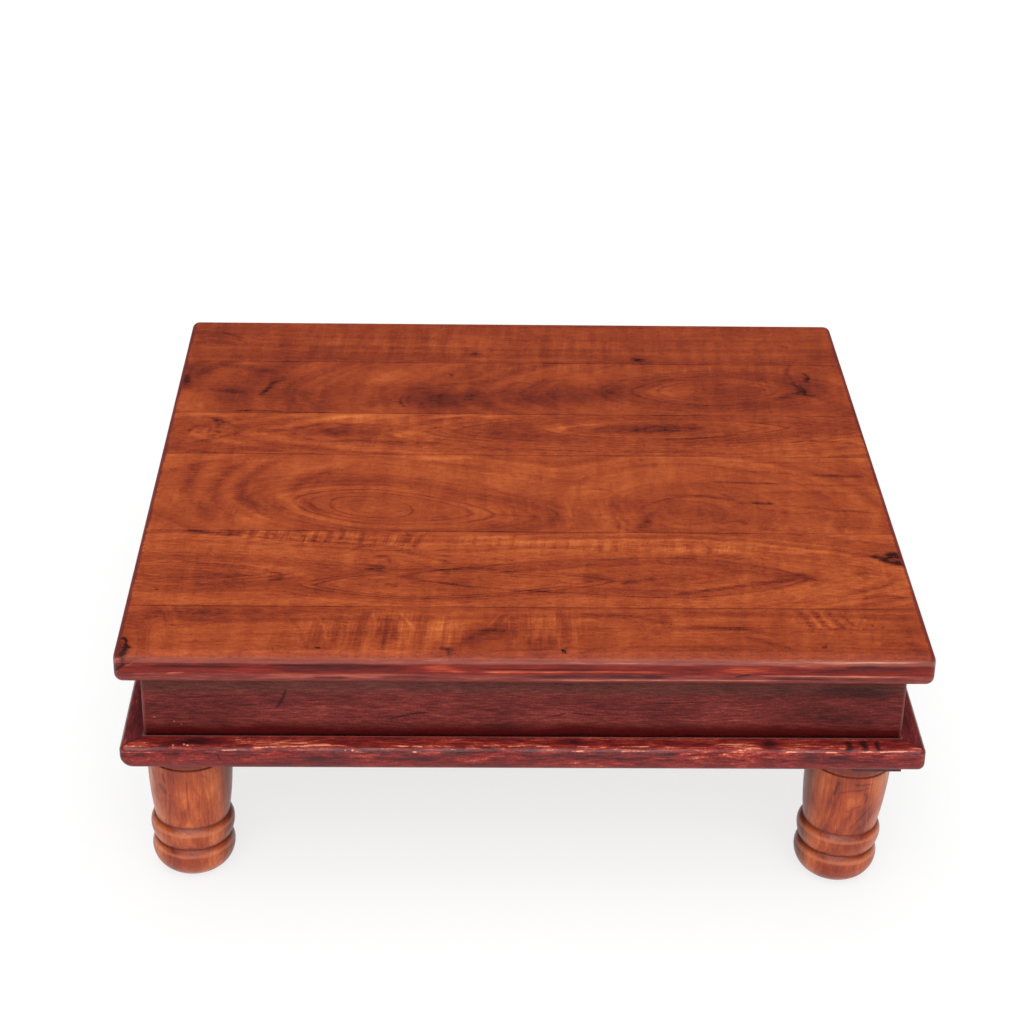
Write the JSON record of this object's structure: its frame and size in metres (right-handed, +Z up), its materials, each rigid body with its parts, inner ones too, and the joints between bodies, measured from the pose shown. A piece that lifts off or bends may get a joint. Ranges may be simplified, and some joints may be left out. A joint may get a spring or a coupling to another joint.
{
  "type": "low table",
  "caption": "Low square wooden table with a boarded top, boxed apron, mitred base frame and short turned legs.",
  "frame": {"origin": "on the floor, under the middle of the top", "axes": "+Z up, +X to the right along the boards, -Y out of the front"},
  "size_m": [0.457, 0.457, 0.1688],
  "materials": {
    "top_wood": "clear varnish, gloss, orange brown hardwood with dark figure",
    "apron_wood": "dark maroon stain, satin",
    "base_wood": "red maroon stain, satin, worn at the edge",
    "leg_wood": "clear varnish, satin",
    "inner_wood": "bare sawn wood",
    "slip_wood": "dark stain, matte",
    "screw_steel": "dull zinc"
  },
  "bodies": {
    "root": {"top_board_1": "top_wood", "top_board_2": "top_wood", "top_board_3": "top_wood", "top_board_4": "top_wood", "top_board_5": "top_wood", "top_board_6": "top_wood", "top_batten_left": "inner_wood", "top_batten_right": "inner_wood", "batten_screws": "screw_steel", "apron_front": "apron_wood", "apron_right": "apron_wood", "apron_rear": "apron_wood", "apron_left": "apron_wood", "glue_block_front": "inner_wood", "glue_block_right": "inner_wood", "glue_block_rear": "inner_wood", "glue_block_left": "inner_wood", "base_rail_front": "base_wood", "base_rail_right": "base_wood", "base_rail_rear": "base_wood", "base_rail_left": "base_wood", "rail_screws": "screw_steel", "corner_block_front_left": "inner_wood", "corner_block_front_right": "inner_wood", "corner_block_rear_right": "inner_wood", "corner_block_rear_left": "inner_wood", "leg_front_left": "leg_wood", "leg_front_right": "leg_wood", "leg_rear_right": "leg_wood", "leg_rear_left": "leg_wood", "packing_slip": "slip_wood"}
  },
  "joints": []
}
